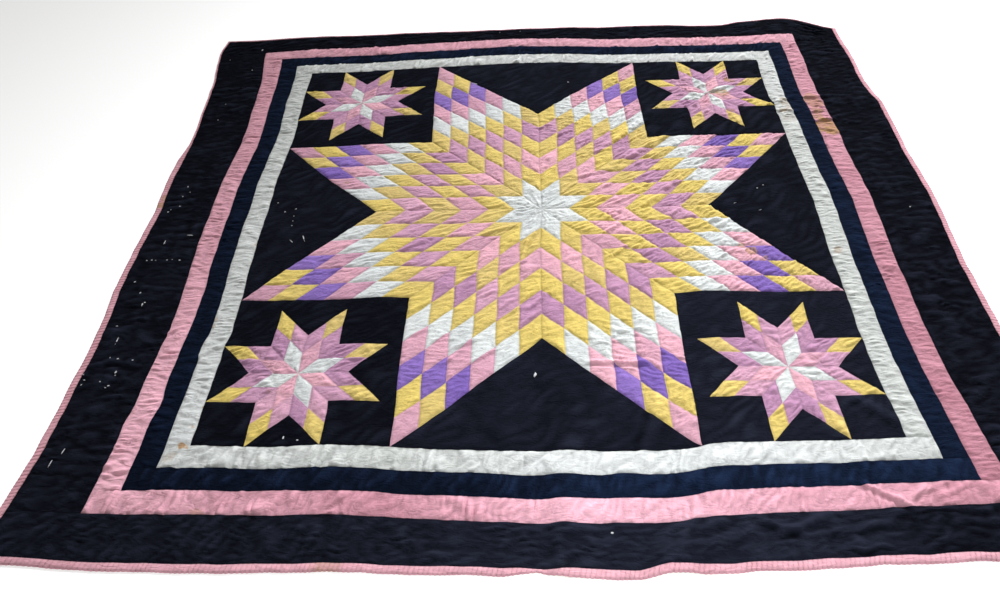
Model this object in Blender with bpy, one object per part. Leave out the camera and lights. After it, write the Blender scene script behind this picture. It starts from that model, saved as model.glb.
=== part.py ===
"""Star quilt blanket lying flat: eight pieced star points, setting triangles, corner blocks,
four rows of border strips and a binding, each the quilt's whole thickness.

The pattern is laid out flat around the centre of the large star, +X to the right and +Y up the
quilt. Every panel is then laid on the floor at z = 0 with the same pulls and folds, around the
middle of the quilt's outline.
"""
import math
import random

import bmesh
import bpy
from mathutils import Vector

# Driving dimensions of the pattern, in metres
FIELD_HALF = 0.712          # half the square field that holds the star
BLOCK_INNER = 0.307         # inner edges of the corner blocks, from the centre lines
NOTCH_RADIUS = 0.434        # star's centre to the notch at a setting triangle
DIAMONDS = 6                # small diamonds along the side of a star point
CUTS = 2                    # mesh cells across a small diamond
STRIP_WIDTH = 0.051         # white, navy and pink strips
BINDING_WIDTH = 0.016       # where the binding shows in full
BINDING_ROLLED = 0.006      # where it is rolled to the back
SEAM_GAP = 0.0003           # between neighbouring panels
SMALL_STAR_SIDE = 0.109     # side of a point of the small stars
SMALL_STAR_OFFSET = 0.186   # centre of a small star from the outer edges of its block

# Thickness, in metres
QUILT_THICKNESS = 0.0036    # top, batting and backing where they are sewn together
DIAMOND_PUFF = 0.0020       # rise of a small diamond's middle over its seams
PANEL_PUFF = 0.0014         # rise of the plain black panels between quilting lines
STRIP_PUCKER = 0.0016       # puckers across the strips
BINDING_ROUND = 0.0012      # drop of the binding's outer edge

STAR_CENTRE = (0.0175, 0.0161)  # the star's centre, from the middle of the quilt's outline
BLACK_INNER = FIELD_HALF + 3 * STRIP_WIDTH
BLACK_ROWS = 2              # mesh cells across the black border
SIDES = ("left", "right", "top", "bottom")
CELLS = DIAMONDS * CUTS
ON_FLOOR = 1e-6
FACES_DOWN = -0.5           # a normal lower than this belongs to the underside

# Where the cloth strays from the pattern: it is moved by (dx, dy) at (x, y), and less further off
PULLS = (
    # what is pulled          x      y       dx      dy      reach
    ("star", -0.30, 0.05, 0.016, 0.007, 0.25),
    ("star, upper right", 0.13, 0.46, 0.014, 0.006, 0.65),
    ("top middle", -0.08, 0.85, 0.003, 0.027, 0.30),
    ("bottom middle", 0.08, -0.82, 0.001, -0.029, 0.35),
    ("left side, lower", -0.94, -0.35, 0.019, -0.001, 0.27),
    ("left side, upper", -0.89, 0.40, 0.014, -0.013, 0.25),
    ("right side, lower", 0.96, -0.42, -0.027, -0.013, 0.37),
    ("right side, upper", 0.96, 0.50, -0.017, 0.005, 0.40),
    ("upper left corner", -0.97, 0.88, -0.027, -0.021, 0.17),
    ("upper right corner", 1.05, 0.97, -0.008, -0.069, 0.12),
    ("lower left corner", -1.04, -1.00, -0.045, 0.020, 0.20),
    ("lower right corner", 0.90, -0.92, 0.005, 0.010, 0.22),
)

# Width of the black border at places along each side, from left to right or from the bottom up
BLACK_WIDTH = {
    "left": ((-0.86, 0.135), (-0.68, 0.144), (-0.45, 0.147), (-0.26, 0.156), (-0.12, 0.145),
             (0.03, 0.137), (0.30, 0.143), (0.61, 0.147), (0.75, 0.146), (0.83, 0.142)),
    "right": ((-0.75, 0.142), (-0.46, 0.149), (-0.25, 0.145), (0.30, 0.152), (0.44, 0.160),
              (0.58, 0.145), (0.80, 0.142)),
    "top": ((-0.85, 0.084), (-0.45, 0.079), (-0.10, 0.063), (0.37, 0.085), (0.64, 0.075),
            (0.70, 0.093), (0.85, 0.094)),
    "bottom": ((-0.86, 0.098), (-0.44, 0.098), (-0.10, 0.091), (0.16, 0.094), (0.21, 0.088),
               (0.44, 0.095), (0.58, 0.091), (0.78, 0.095)),
}

# Soft ridges: crest points, height at the first and last of them, width on the left and the right
FOLDS = (
    dict(name="centre crease", crest=((0.014, -0.44), (0.026, -0.72), (0.029, -0.86), (0.026, -1.00)),
         height=(0.002, 0.013), left=0.026, right=0.050),
    dict(name="long ridge", crest=((0.375, -0.30), (0.345, -0.54), (0.328, -0.72), (0.306, -0.83),
                                   (0.282, -0.89), (0.214, -0.94), (0.203, -1.00)),
         height=(0.003, 0.016), left=0.032, right=0.075),
    dict(name="swell at the top edge", crest=((0.80, 0.80), (0.835, 0.93), (0.845, 1.00)),
         height=(0.002, 0.012), left=0.085, right=0.080),
    dict(name="lifted lower edge", crest=((-0.02, -1.00), (-0.02, -0.95)),
         height=(0.008, 0.001), left=0.045, right=0.030),
    dict(name="ripple in the right border", crest=((0.99, 0.455), (0.88, 0.47)),
         height=(0.006, 0.001), left=0.040, right=0.050),
)

# How much of the binding shows, at places along each side
BINDING_SHOWN = {
    "left": ((-1.1, BINDING_WIDTH), (0.27, BINDING_WIDTH), (0.36, BINDING_ROLLED), (1.1, BINDING_ROLLED)),
    "right": ((-1.1, BINDING_WIDTH), (1.1, 0.013)),
    "top": ((-1.1, BINDING_ROLLED), (1.1, BINDING_ROLLED)),
    "bottom": ((-1.1, BINDING_WIDTH), (-0.08, BINDING_WIDTH), (-0.022, 0.006), (0.035, 0.018),
               (1.1, BINDING_WIDTH)),
}

# Long waves in every seam: amplitude, wavelengths along x and y, turn of the wave
WAVES = (
    (0.0014, 0.41, 0.33, 0.6),
    (0.0011, 0.27, 0.36, 2.3),
)

COLOURS = {
    "star": (0.79, 0.60, 0.35),
    "black": (0.012, 0.013, 0.018),
    "white": (0.66, 0.68, 0.67),
    "navy": (0.010, 0.018, 0.045),
    "pink": (0.80, 0.40, 0.50),
    "binding": (0.78, 0.42, 0.50),
}


def remove_old_objects():
    for obj in list(bpy.data.objects):
        bpy.data.objects.remove(obj, do_unlink=True)


def make_materials():
    materials = {}
    for name, colour in COLOURS.items():
        material = bpy.data.materials.new(name + "_cotton")
        material.use_nodes = True
        shader = material.node_tree.nodes["Principled BSDF"]
        shader.inputs["Base Color"].default_value = (*colour, 1.0)
        shader.inputs["Roughness"].default_value = 0.9
        shader.inputs["Metallic"].default_value = 0.0
        materials[name] = material
    return materials


def strayed(x, y):
    """The place on the floor of a point of the pattern."""
    moved_x, moved_y = x + STAR_CENTRE[0], y + STAR_CENTRE[1]
    for _, at_x, at_y, by_x, by_y, reach in PULLS:
        share = math.exp(-((x - at_x) ** 2 + (y - at_y) ** 2) / reach ** 2)
        moved_x += by_x * share
        moved_y += by_y * share
    for size, along_x, along_y, turn in WAVES:
        moved_x += size * math.sin(math.tau * y / along_y + turn)
        moved_y += size * math.sin(math.tau * x / along_x + 2.0 * turn)
    return moved_x, moved_y


def ridge(x, y, crest, height, left, right):
    """Height at a point of one fold, whose crest runs through a few points."""
    place = Vector((x, y))
    lengths = [(Vector(b) - Vector(a)).length for a, b in zip(crest, crest[1:])]
    best = None
    passed = 0.0
    for (start, end), length in zip(zip(crest, crest[1:]), lengths):
        along = (Vector(end) - Vector(start)) / length
        run = min(max((place - Vector(start)).dot(along), 0.0), length)
        off = place - (Vector(start) + along * run)
        if best is None or off.length < best[0]:
            side = along.x * off.y - along.y * off.x
            best = (off.length, side, (passed + run) / sum(lengths))
        passed += length
    distance, side, share = best
    runs_down = crest[0][1] > crest[-1][1]
    on_right = (side > 0.0) == runs_down
    width = right if on_right else left
    top = height[0] + (height[1] - height[0]) * share
    return top * math.exp(-(distance / width) ** 2)


def lifted(x, y):
    """How far the underside stands off the floor; it lies flat where the folds have run out."""
    rise = max(ridge(x, y, fold["crest"], fold["height"], fold["left"], fold["right"]) for fold in FOLDS)
    return max(0.0, rise - 0.0006)


def lay(bm):
    """Turns a flat sheet of the pattern into a closed panel on the floor.

    The sheet's own z is how far its top rises over the quilt's thickness there.
    """
    top = list(bm.faces)
    kept = bmesh.ops.extrude_face_region(bm, geom=top, use_keep_orig=True)
    upper = {item for item in kept["geom"] if isinstance(item, bmesh.types.BMVert)}
    for vert in bm.verts:
        x, y, puff = vert.co
        rise = lifted(x, y)
        if vert in upper:
            rise += QUILT_THICKNESS + puff
        vert.co = Vector((*strayed(x, y), rise))
    bmesh.ops.recalc_face_normals(bm, faces=bm.faces)


def puff_up(bm, rise):
    """Raises the points of a flat sheet inside its seams."""
    for vert in bm.verts:
        if not vert.is_boundary:
            vert.co.z = rise(vert.co.x, vert.co.y)


def merge_flat_underside(bm):
    """The part of the underside that lies on the floor becomes one face."""
    bm.normal_update()
    rim = {vert for face in bm.faces if face.normal.z > FACES_DOWN for vert in face.verts}
    inner = [vert for vert in bm.verts if vert not in rim and vert.co.z < ON_FLOOR]
    edges = [edge for edge in bm.edges
             if all(vert.co.z < ON_FLOOR for vert in edge.verts)
             and all(face.normal.z < FACES_DOWN for face in edge.link_faces)]
    bmesh.ops.dissolve_limit(bm, angle_limit=math.radians(0.05), verts=inner, edges=edges)


def add_panel(bm, name, material, collection):
    bmesh.ops.triangulate(bm, faces=bm.faces)
    mesh = bpy.data.meshes.new(name)
    bm.to_mesh(mesh)
    bm.free()
    mesh.materials.append(material)
    obj = bpy.data.objects.new(name, mesh)
    collection.objects.link(obj)
    return obj


def drawn_in(corners):
    """The outline of a convex panel, half a gap inside its seam lines."""
    points = [Vector(corner) for corner in corners]
    inside = []
    for before, here, after in zip(points[-1:] + points[:-1], points, points[1:] + points[:1]):
        to_before = (before - here).normalized()
        to_after = (after - here).normalized()
        half_angle = to_before.angle(to_after) / 2.0
        inward = (to_before + to_after).normalized()
        inside.append(here + inward * (SEAM_GAP / 2.0) / math.sin(half_angle))
    return inside


def four_sided(corners, columns, rows):
    """A flat grid between four corners, given anticlockwise."""
    bm = bmesh.new()
    bmesh.ops.create_grid(bm, x_segments=columns, y_segments=rows, size=0.5)
    low_left, low_right, up_right, up_left = drawn_in(corners)
    for vert in bm.verts:
        u, v = vert.co.x + 0.5, vert.co.y + 0.5
        place = low_left.lerp(low_right, u).lerp(up_left.lerp(up_right, u), v)
        vert.co = Vector((place.x, place.y, 0.0))
    return bm


def three_sided(corners, cells):
    """A flat triangle with an even grid, its corners given anticlockwise."""
    bm = bmesh.new()
    bmesh.ops.create_circle(bm, segments=3, radius=1.0, cap_ends=True)
    ends = [vert.co.copy() for vert in bm.verts]
    bmesh.ops.subdivide_edges(bm, edges=bm.edges[:], cuts=cells - 1, use_grid_fill=True)
    first, second, third = drawn_in(corners)
    base = (ends[0] - ends[2]).to_2d()
    other = (ends[1] - ends[2]).to_2d()
    spread = base.cross(other)
    for vert in bm.verts:
        off = (vert.co - ends[2]).to_2d()
        a = off.cross(other) / spread
        b = base.cross(off) / spread
        place = first * a + second * b + third * (1.0 - a - b)
        vert.co = Vector((place.x, place.y, 0.0))
    return bm


def turned(corners, quarter, mirror=False):
    """Corners turned by quarter turns around the star, mirrored over the diagonal first."""
    turn = round(math.cos(quarter * math.pi / 2)), round(math.sin(quarter * math.pi / 2))
    result = []
    for x, y in corners:
        if mirror:
            x, y = y, x
        result.append((x * turn[0] - y * turn[1], x * turn[1] + y * turn[0]))
    return result[::-1] if mirror else result


def star_points(materials, collection):
    corners = ((0.0, 0.0), (NOTCH_RADIUS, 0.0), (FIELD_HALF, BLOCK_INNER), (BLOCK_INNER, BLOCK_INNER))
    chance = random.Random(11)
    for number in range(8):
        outline = turned(corners, number // 2, mirror=number % 2 == 1)
        bm = four_sided(outline, CELLS, CELLS)
        for index, vert in enumerate(bm.verts):
            row, column = divmod(index, CELLS + 1)
            if column % CUTS and row % CUTS:
                vert.co.z = DIAMOND_PUFF * chance.uniform(0.75, 1.2)
        lay(bm)
        merge_flat_underside(bm)
        add_panel(bm, f"star_point_{number + 1}", materials["star"], collection)


def uneven(x, y):
    return PANEL_PUFF * (0.6 + 0.4 * math.sin(math.tau * (x / 0.137 + y / 0.103)))


def setting_triangles(materials, collection):
    corners = ((NOTCH_RADIUS, 0.0), (FIELD_HALF, -BLOCK_INNER), (FIELD_HALF, BLOCK_INNER))
    for number in range(4):
        bm = three_sided(turned(corners, number), CELLS)
        puff_up(bm, uneven)
        lay(bm)
        merge_flat_underside(bm)
        add_panel(bm, f"setting_triangle_{number + 1}", materials["black"], collection)


def small_star_puff(x, y):
    """Rise of a small star's patches at a place measured from the star's centre."""
    angle = math.atan2(y, x) % math.tau
    wedge = int(angle / (math.pi / 4))
    turn = -wedge * math.pi / 4
    across = x * math.cos(turn) - y * math.sin(turn)
    up = x * math.sin(turn) + y * math.cos(turn)
    second = up * math.sqrt(2.0) / SMALL_STAR_SIDE
    first = across / SMALL_STAR_SIDE - second / math.sqrt(2.0)
    if max(first, second) > 1.0:
        return 0.3 * PANEL_PUFF
    patch_first, patch_second = (2.0 * first) % 1.0, (2.0 * second) % 1.0
    return DIAMOND_PUFF * 16.0 * patch_first * (1 - patch_first) * patch_second * (1 - patch_second)


def corner_blocks(materials, collection):
    corners = ((BLOCK_INNER, BLOCK_INNER), (FIELD_HALF, BLOCK_INNER),
               (FIELD_HALF, FIELD_HALF), (BLOCK_INNER, FIELD_HALF))
    middle = FIELD_HALF - SMALL_STAR_OFFSET
    for number in range(4):
        bm = four_sided(turned(corners, number), CELLS, CELLS)
        (centre_x, centre_y), = turned(((middle, middle),), number)

        def rise(x, y, centre_x=centre_x, centre_y=centre_y):
            return small_star_puff(x - centre_x, y - centre_y)

        puff_up(bm, rise)
        lay(bm)
        merge_flat_underside(bm)
        add_panel(bm, f"corner_block_{number + 1}", materials["black"], collection)


def spread(start, end, cells):
    return [start + (end - start) * step / cells for step in range(cells + 1)]


def side_lines(count):
    """Places of the mesh lines along one side, out to the outer edge of strip row number count."""
    half = spread(BLOCK_INNER, FIELD_HALF, CELLS)[1:]
    middle = spread(-BLOCK_INNER, BLOCK_INNER, CELLS)
    rows = [FIELD_HALF + STRIP_WIDTH * step for step in range(1, count + 1)]
    return [-place for place in reversed(rows)] + [-place for place in reversed(half)] + middle + half + rows


def strip(side, lines, inner, outer, rows, puff, material, name, collection):
    """A strip along one side: lines are the places of its cross cuts, inner and outer its edges.

    Its top rises by puff at a place along it and a share of the way across it.
    """
    bm = bmesh.new()
    bmesh.ops.create_grid(bm, x_segments=len(lines) - 1, y_segments=rows, size=0.5)
    shift = SEAM_GAP / 2.0
    last = len(lines) - 1
    for vert in bm.verts:
        step = round((vert.co.x + 0.5) * last)
        share = vert.co.y + 0.5
        along = lines[step]
        along += shift if step == 0 else -shift if step == last else 0.0
        near = inner(side, along) + shift
        far = outer(side, along) - shift
        off = near + (far - near) * share
        place = {"top": (along, off), "bottom": (along, -off), "left": (-off, along), "right": (off, along)}
        vert.co = Vector((*place[side], puff(along, share)))
    lay(bm)
    if rows > 1:
        merge_flat_underside(bm)
    add_panel(bm, name, material, collection)


def straight(edge):
    """An edge of a strip that runs even with its side of the star's field."""
    return lambda _side, _along: edge


def pucker(seed):
    """Puckers across a strip, uneven along it."""
    chance = random.Random(seed)
    turns = [chance.uniform(0.0, math.tau) for _ in range(2)]

    def rise(along, _share):
        wave = math.sin(math.tau * along / 0.068 + turns[0])
        strength = 0.6 + 0.4 * math.sin(math.tau * along / 0.43 + turns[1])
        return STRIP_PUCKER * (0.5 + 0.5 * wave * strength)
    return rise


def border_strips(materials, collection):
    """White, navy and pink strips: the side ones first, and the top and bottom ones over their ends."""
    for row, colour in enumerate(("white", "navy", "pink")):
        inner = FIELD_HALF + row * STRIP_WIDTH
        for number, side in enumerate(SIDES):
            lines = side_lines(row + 1 if side in ("top", "bottom") else row)
            strip(side, lines, straight(inner), straight(inner + STRIP_WIDTH), 1, pucker(4 * row + number),
                  materials[colour], f"{colour}_strip_{side}", collection)


def from_table(table, along):
    """The width that a table of places and widths gives at a place along a side."""
    for (start, first), (end, second) in zip(table, table[1:]):
        if along <= end:
            share = max(0.0, (along - start) / (end - start))
            return first + (second - first) * share
    return table[-1][1]


def black_edge(side, along):
    """Outer edge of the black border, from the centre line."""
    return BLACK_INNER + from_table(BLACK_WIDTH[side], along)


def binding_edge(side, along):
    return black_edge(side, along) + from_table(BINDING_SHOWN[side], along)


def corner_lines(side, end):
    """Mesh lines over the black border's end at one side, where the border at the other end runs out."""
    along = BLACK_INNER if side in ("right", "top") else -BLACK_INNER
    return spread(BLACK_INNER, black_edge(end, along), BLACK_ROWS)[1:]


def black_strips(materials, collection):
    for number, side in enumerate(SIDES):
        lines = side_lines(3)
        if side in ("top", "bottom"):
            ends = [-place for place in reversed(corner_lines(side, "left"))]
            lines = ends + lines + corner_lines(side, "right")
        strip(side, lines, straight(BLACK_INNER), black_edge, BLACK_ROWS, pucker(20 + number),
              materials["black"], f"black_strip_{side}", collection)


def rounded_off(_along, share):
    """The binding's top drops towards its outer edge."""
    return -BINDING_ROUND * share


def bindings(materials, collection):
    """The binding: side strips along the whole black border, top and bottom ones over their ends."""
    for side in SIDES:
        before, after = ("left", "right") if side in ("top", "bottom") else ("bottom", "top")
        first = corner_lines(side, before)
        second = corner_lines(side, after)
        if side in ("top", "bottom"):
            level = BLACK_INNER if side == "top" else -BLACK_INNER
            first.append(binding_edge("left", level))
            second.append(binding_edge("right", level))
        lines = [-place for place in reversed(first)] + side_lines(3) + second
        strip(side, lines, black_edge, binding_edge, 1, rounded_off, materials["binding"],
              f"binding_{side}", collection)


def main():
    remove_old_objects()
    collection = bpy.data.collections.new("star_quilt_blanket")
    bpy.context.scene.collection.children.link(collection)
    materials = make_materials()
    star_points(materials, collection)
    setting_triangles(materials, collection)
    corner_blocks(materials, collection)
    border_strips(materials, collection)
    black_strips(materials, collection)
    bindings(materials, collection)


main()
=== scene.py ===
# Star quilt blanket, lying flat: a large star, four small ones, border strips and a ticked binding
import math
import random

import bmesh
import bpy
import numpy as np
from mathutils import Matrix, Vector
from mathutils.bvhtree import BVHTree


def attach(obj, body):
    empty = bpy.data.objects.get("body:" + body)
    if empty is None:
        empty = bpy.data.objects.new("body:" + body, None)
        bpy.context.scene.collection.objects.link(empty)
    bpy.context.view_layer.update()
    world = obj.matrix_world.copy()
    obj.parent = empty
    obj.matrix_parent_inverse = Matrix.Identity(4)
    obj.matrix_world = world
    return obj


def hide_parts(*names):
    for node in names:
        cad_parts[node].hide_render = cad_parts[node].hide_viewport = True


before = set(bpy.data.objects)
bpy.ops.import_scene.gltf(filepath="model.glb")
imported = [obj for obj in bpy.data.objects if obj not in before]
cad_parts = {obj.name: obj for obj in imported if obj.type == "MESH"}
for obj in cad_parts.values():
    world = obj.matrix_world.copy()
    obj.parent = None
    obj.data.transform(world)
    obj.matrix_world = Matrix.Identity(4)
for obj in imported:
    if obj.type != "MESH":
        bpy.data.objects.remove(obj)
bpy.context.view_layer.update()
print("frame loaded,", len(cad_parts), "nodes")


# The camera stands low at the quilt's lower edge and looks down at it
camera = {
    "place": (-0.0107, -1.6135, 1.3539),
    "turn": (43.906, 2.165, 0.521),        # degrees about x, y, z
    "lens": 29.27,
    "sensor": 36.0,
}


def addPiece(name, data):
    piece = bpy.data.objects.new(name, data)
    bpy.context.scene.collection.objects.link(piece)
    return piece


def placeCamera():
    lensData = bpy.data.cameras.new("camera")
    lensData.lens = camera["lens"]
    lensData.sensor_width = camera["sensor"]
    lensData.clip_end = 100.0
    stand = addPiece("camera", lensData)
    stand.location = camera["place"]
    stand.rotation_euler = [math.radians(angle) for angle in camera["turn"]]
    bpy.context.scene.camera = stand


placeCamera()


# The pattern lies flat around the large star's centre, in metres
pattern = {
    "fieldHalf": 0.712,           # half the square field that holds the large star
    "blockInner": 0.307,          # inner edges of the corner blocks
    "notchRadius": 0.434,         # centre of the star to the notch at a setting triangle
    "diamonds": 6,                # small diamonds along the side of a star point
    "stripWidth": 0.051,
    "smallStarSide": 0.109,
    "smallStarOffset": 0.186,     # centre of a small star from the outer edges of its block
    "seamGap": 0.00005,           # between neighbouring panels
    "starCentre": (0.0175, 0.0161),
}
blackInner = pattern["fieldHalf"] + 3 * pattern["stripWidth"]

# Where the cloth strays from the pattern, in millimetres: x, y, moved by dx and dy, reach
pulls = (
    ("star", -300, 50, 16, 7, 250),
    ("star, upper right", 130, 460, 14, 6, 650),
    ("top middle", -80, 850, 3, 27, 300),
    ("bottom middle", 80, -820, 1, -29, 350),
    ("left side, lower", -940, -350, 19, -1, 270),
    ("left side, upper", -890, 400, 14, -13, 250),
    ("right side, lower", 960, -420, -27, -13, 370),
    ("right side, upper", 960, 500, -17, 5, 400),
    ("upper left corner", -970, 880, -27, -21, 170),
    ("upper right corner", 1050, 970, -8, -69, 120),
    ("lower left corner", -1040, -1000, -45, 20, 200),
    ("lower right corner", 900, -920, 5, 10, 220),
)

# Short jogs of the seams, the same way, at places on the floor
kinks = (
    (-704, -394, 6.5, 0, 30), (-716, -430, -6.5, 0, 30), (-806, -590, 6, 0, 35),
    (-822, -640, -4, 0, 35), (-812, -380, 4, 0, 25), (622, 400, -4, 9, 60), (705, 475, 6, 0, 30),
    (775, 500, -3, 0, 20), (870, 490, 4, 0, 20), (640, -830, 0, 3.5, 30), (500, -830, 0, -2.5, 30),
    (180, -790, 0, 3, 35),
)

# Width of the black border at places along each side, in millimetres
blackWidth = {
    "left": ((-860, 135), (-680, 144), (-450, 147), (-260, 156), (-120, 145),
             (30, 137), (300, 143), (610, 147), (750, 146), (830, 142)),
    "right": ((-750, 142), (-460, 149), (-250, 145), (300, 152), (440, 160),
              (580, 145), (800, 142)),
    "top": ((-850, 84), (-450, 79), (-100, 63), (370, 85), (640, 75),
            (700, 93), (850, 94)),
    "bottom": ((-860, 98), (-440, 98), (-100, 91), (160, 94), (210, 88),
               (440, 95), (580, 91), (780, 95)),
}

# How much of the binding shows, at places along each side, in millimetres
bindingShown = {
    "left": ((-1100, 16), (270, 16), (360, 6), (1100, 6)),
    "right": ((-1100, 16), (1100, 13)),
    "top": ((-1100, 6), (1100, 6)),
    "bottom": ((-1100, 16), (-80, 16), (-22, 6), (35, 18), (1100, 16)),
}

# Soft ridges: crest points, height at the first and last of them, width to its left and right
folds = (
    # the crease down the middle of the lower half
    (((0.014, -0.44), (0.026, -0.72), (0.029, -0.86), (0.026, -1.00)),
     (0.002, 0.013), 0.026, 0.050),
    # the long ridge from the star's lower right point
    (((0.375, -0.30), (0.345, -0.54), (0.328, -0.72), (0.306, -0.83), (0.282, -0.89),
      (0.214, -0.94), (0.203, -1.00)), (0.003, 0.016), 0.032, 0.075),
    # the swell at the top edge, the lifted lower edge and the ripple in the right border
    (((0.80, 0.80), (0.835, 0.93), (0.845, 1.00)), (0.002, 0.012), 0.085, 0.080),
    (((-0.02, -1.00), (-0.02, -0.95)), (0.008, 0.001), 0.045, 0.030),
    (((0.99, 0.455), (0.88, 0.47)), (0.006, 0.001), 0.040, 0.050),
)

# Long waves in every seam: size, wavelengths along x and y, turn of the wave
waves = (
    (0.0014, 0.41, 0.33, 0.6),
    (0.0011, 0.27, 0.36, 2.3),
)

cloth = {
    "thickness": 0.0036,          # top, batting and backing where they are sewn together
    "thinnest": 0.0012,           # troughs flatten out above this
    "easeOut": 0.0006,
    "ditchDepth": 0.0009,         # how far a seam sinks in
    "ditchWidth": 0.0030,
    "puffReach": 0.010,           # how soon the cloth rises beside a seam
    "calmed": dict(star=0.5, black=0.85, block=0.7, strip=0.75),   # creases that a seam takes out
    "wiggles": ((0.0030, 0.085, 301), (0.0016, 0.034, 303)),   # size, length and seed
    "foldStart": 0.0006,          # folds lower than this lie flat
}


def metres(row):
    return [value / 1000 for value in row]


def between(start, end, share):
    return start + (end - start) * share


def nearness(x, y, atX, atY, reach):
    return np.exp(-((x - atX) ** 2 + (y - atY) ** 2) / reach ** 2)


# Smooth noise between about -0.7 and 0.7, one swing for each unit of length
def softNoise(x, y, seed):
    cellX, cellY = np.floor(x).astype(np.int64), np.floor(y).astype(np.int64)
    offX, offY = x - cellX, y - cellY
    easeX = offX ** 3 * (offX * (offX * 6.0 - 15.0) + 10.0)
    easeY = offY ** 3 * (offY * (offY * 6.0 - 15.0) + 10.0)

    def corner(stepX, stepY):     # each corner's slope comes from mixing its whole numbers
        mixed = ((cellX + stepX) * 73856093) ^ ((cellY + stepY) * 19349663) ^ (seed * 83492791)
        mixed = ((mixed ^ (mixed >> 13)) * 1274126177) & 0x7fffffff
        mixed = ((mixed ^ (mixed >> 15)) * 668265263) & 0x7fffffff
        angle = mixed * (math.tau / 0x7fffffff)
        return np.cos(angle) * (offX - stepX) + np.sin(angle) * (offY - stepY)

    low = between(corner(0, 0), corner(1, 0), easeX)
    return between(low, between(corner(0, 1), corner(1, 1), easeX), easeY)


# Reads a table of places and values, both written in whole parts
def readAt(table, along, parts=1000):
    places, values = np.array(table).T / parts
    return np.interp(along, places, values)


def blackEdge(side, along):
    return blackInner + readAt(blackWidth[side], along)


def bindingEdge(side, along):
    return blackEdge(side, along) + readAt(bindingShown[side], along)


# Where points of the pattern lie on the floor
def laidOut(x, y):
    movedX, movedY = x + pattern["starCentre"][0], y + pattern["starCentre"][1]
    for _, *pull in pulls:
        atX, atY, byX, byY, reach = metres(pull)
        share = nearness(x, y, atX, atY, reach)
        movedX = movedX + byX * share
        movedY = movedY + byY * share
    for size, alongX, alongY, turn in waves:
        movedX = movedX + size * np.sin(math.tau * y / alongY + turn)
        movedY = movedY + size * np.sin(math.tau * x / alongX + 2.0 * turn)
    for kink in kinks:
        atX, atY, byX, byY, reach = metres(kink)
        share = nearness(movedX, movedY, atX, atY, reach)
        movedX = movedX + byX * share
        movedY = movedY + byY * share
    for size, reach, seed in cloth["wiggles"]:
        movedX = movedX + size * softNoise(x / reach, y / reach, seed)
        movedY = movedY + size * softNoise(x / reach, y / reach, seed + 1)
    return movedX, movedY


# Height of one fold, whose crest runs through a few points
def ridgeHeight(x, y, crest, height, left, right):
    points = np.array(crest)
    lengths = np.hypot(*(points[1:] - points[:-1]).T)
    nearest = np.full(x.shape, np.inf)
    side = np.zeros(x.shape)
    share = np.zeros(x.shape)
    passed = 0.0
    for start, end, length in zip(points, points[1:], lengths):
        wayX, wayY = (end - start) / length
        run = np.clip((x - start[0]) * wayX + (y - start[1]) * wayY, 0.0, length)
        offX, offY = x - start[0] - wayX * run, y - start[1] - wayY * run
        distance = np.hypot(offX, offY)
        closer = distance < nearest
        nearest = np.where(closer, distance, nearest)
        side = np.where(closer, wayX * offY - wayY * offX, side)
        share = np.where(closer, (passed + run) / lengths.sum(), share)
        passed += length
    runsDown = crest[0][1] > crest[-1][1]
    width = np.where((side > 0.0) == runsDown, right, left)
    return between(*height, share) * np.exp(-(nearest / width) ** 2)


def foldRise(x, y):
    rises = np.max([ridgeHeight(x, y, *fold) for fold in folds], axis=0)
    return np.maximum(rises - cloth["foldStart"], 0.0)


# Creases by region: heading in degrees, bend, spacing, length in spacings, height, seed
creases = {
    "star": (27.0, 0.20, 0.0140, 3.6, 0.0052, 21),
    "starWide": (38.0, 0.05, 0.034, 2.2, 0.0042, 24),
    "starFine": (41.0, 0.10, 0.0080, 3.0, 0.0025, 22),
    "starLevel": (-3.0, 0.0, 0.0115, 4.5, 0.0060, 25),
    "black": (38.0, 0.0, 0.024, 3.0, 0.0042, 31),
    "smallStar": (35.0, 0.0, 0.0125, 3.0, 0.0075, 41),
    "side": (3.0, 0.0, 0.0096, 4.0, 0.0040, 51),
    "sideWide": (-4.0, 0.0, 0.023, 3.0, 0.0042, 52),
    "lower": (63.0, 0.0, 0.014, 3.5, 0.0066, 61),
    "lowerWide": (50.0, 0.0, 0.030, 2.5, 0.0062, 62),
    "border": (11.0, 0.0, 0.024, 3.0, 0.0055, 71),
    "borderFine": (4.0, 0.0, 0.012, 2.6, 0.0046, 72),
    "borderLower": (47.0, 0.0, 0.018, 3.4, 0.0052, 73),
}
mounds = {
    "steepness": 1.9,
    "average": 0.36,              # taken off, so that a region stays level on the whole
    "sway": 0.8,                  # how far the creases wander, in spacings
    "swayPace": (0.9, 0.22),      # how fast they do, along and across
    "patch": 0.11,                # size of the places with stronger and weaker creases
    "strength": (0.75, 0.7),      # the middle one, and how far it varies
}

# Where the star's creases run level, as round patches, and how they fade out to the left
levelCreases = ((0.184, -0.471, 0.11), (-0.212, -0.495, 0.10), (0.036, 0.430, 0.13))
levelShare = 1.4                  # over 1, so that they are wholly level some way out
leftFade = dict(middle=0.88, swing=0.24, reach=0.22)
# Creases around the star's centre
whirl = dict(height=0.0008, rays=10.5, radius=0.046, spread=0.034, waver=3.5, waverLength=0.03)
creaseShadingHeight = 0.0045               # crests this high get the full painted highlight, and troughs as deep the full painted shade
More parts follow.
